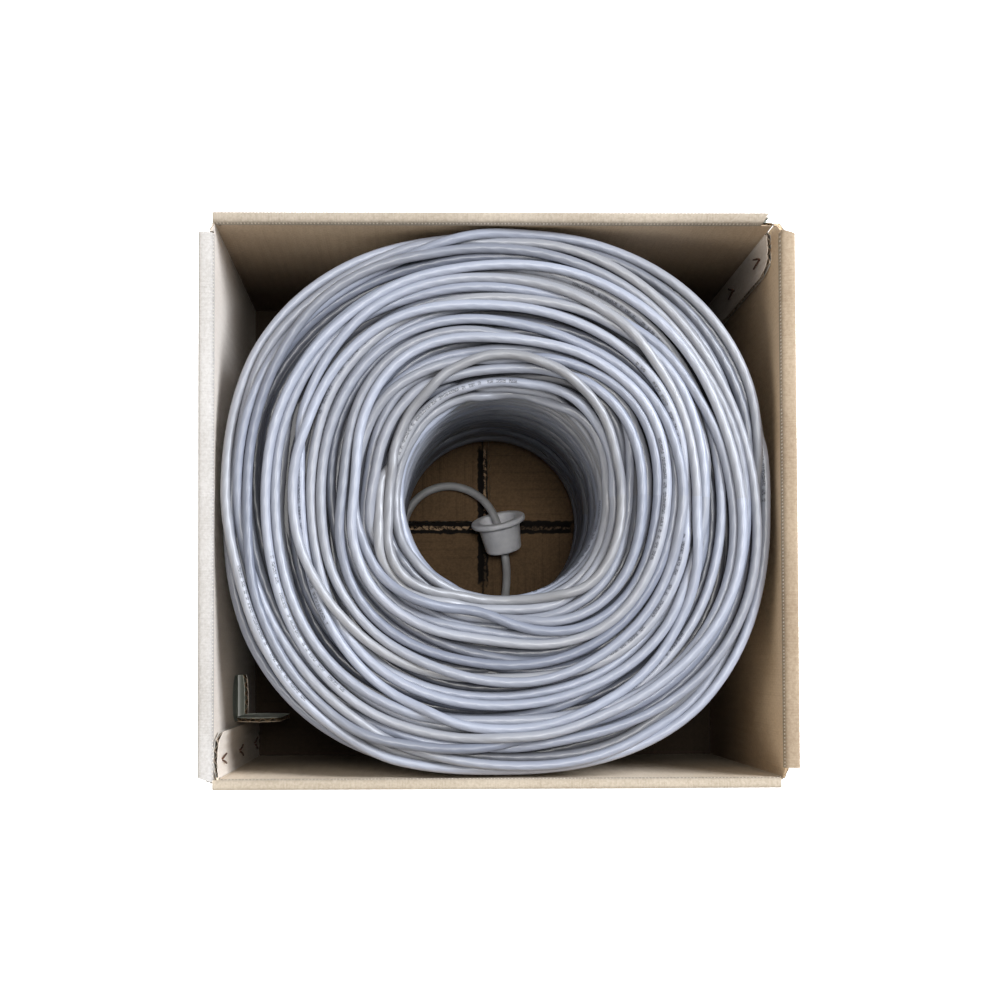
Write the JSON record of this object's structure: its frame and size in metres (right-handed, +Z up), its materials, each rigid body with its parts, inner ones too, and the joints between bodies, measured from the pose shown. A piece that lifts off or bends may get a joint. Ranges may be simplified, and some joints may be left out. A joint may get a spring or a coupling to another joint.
{
  "type": "cable spool box",
  "caption": "Open corrugated carton with folded-down top flaps holding a wound coil of round data cable and a loose payout bushing.",
  "frame": {"origin": "middle of the carton's underside", "axes": "+X across the carton from the hand-hole wall to the far wall, +Y towards the back wall, +Z up out of the open top"},
  "size_m": [0.3114, 0.301, 0.2097],
  "materials": {
    "board": "matte kraft liner inside, off-white liner outside",
    "stitch_wire": "galvanised flat wire",
    "bushing_plastic": "satin, slightly translucent natural white",
    "cable_jacket": "satin light blue-grey jacket",
    "blue_insulation": "gloss",
    "orange_insulation": "gloss",
    "green_insulation": "gloss",
    "brown_insulation": "gloss"
  },
  "bodies": {
    "carton": {"back_wall": "board", "left_wall": "board", "front_wall": "board", "right_wall": "board", "back_stitch_tab": "board", "front_stitch_tab": "board", "back_tab_stitches": "stitch_wire", "front_tab_stitches": "stitch_wire", "bottom_flap_back": "board", "bottom_flap_left": "board", "bottom_flap_front": "board", "bottom_flap_right": "board"},
    "back_flap": {"top_flap_back": "board"},
    "front_flap": {"top_flap_front": "board"},
    "left_flap": {"top_flap_left": "board"},
    "right_flap": {"top_flap_right": "board"},
    "hand_flap": {"hand_hole_flap": "board"},
    "coil": {"cable_coil": "cable_jacket", "cable_lead": "cable_jacket", "blue_pair": "blue_insulation", "orange_pair": "orange_insulation", "green_pair": "green_insulation", "brown_pair": "brown_insulation"},
    "bushing": {"payout_bushing": "bushing_plastic"}
  },
  "joints": [
    {"name": "back_flap_fold", "type": "hinge", "parent": "carton", "child": "back_flap", "pos_m": [0, 0.1492, 0.2068], "axis": [1, 0, 0], "range_deg": [0, 270]},
    {"name": "front_flap_fold", "type": "hinge", "parent": "carton", "child": "front_flap", "pos_m": [0, -0.1492, 0.2068], "axis": [-1, 0, 0], "range_deg": [0, 270]},
    {"name": "left_flap_fold", "type": "hinge", "parent": "carton", "child": "left_flap", "pos_m": [-0.1544, 0, 0.2097], "axis": [0, 1, 0], "range_deg": [0, 270]},
    {"name": "right_flap_fold", "type": "hinge", "parent": "carton", "child": "right_flap", "pos_m": [0.1544, 0, 0.2097], "axis": [0, -1, 0], "range_deg": [0, 270]},
    {"name": "hand_flap_fold", "type": "hinge", "parent": "carton", "child": "hand_flap", "pos_m": [-0.1477, -0.11875, 0.081], "axis": [0, 0, 1], "range_deg": [-25, 90]},
    {"name": "coil_lift", "type": "slide", "parent": "carton", "child": "coil", "axis": [0, 0, -1], "range_m": [-0.25, 0]},
    {"name": "bushing_slide", "type": "slide", "parent": "coil", "child": "bushing", "axis": [-0.2199, 0.9755, 0], "range_m": [-0.003, 0.003]}
  ]
}
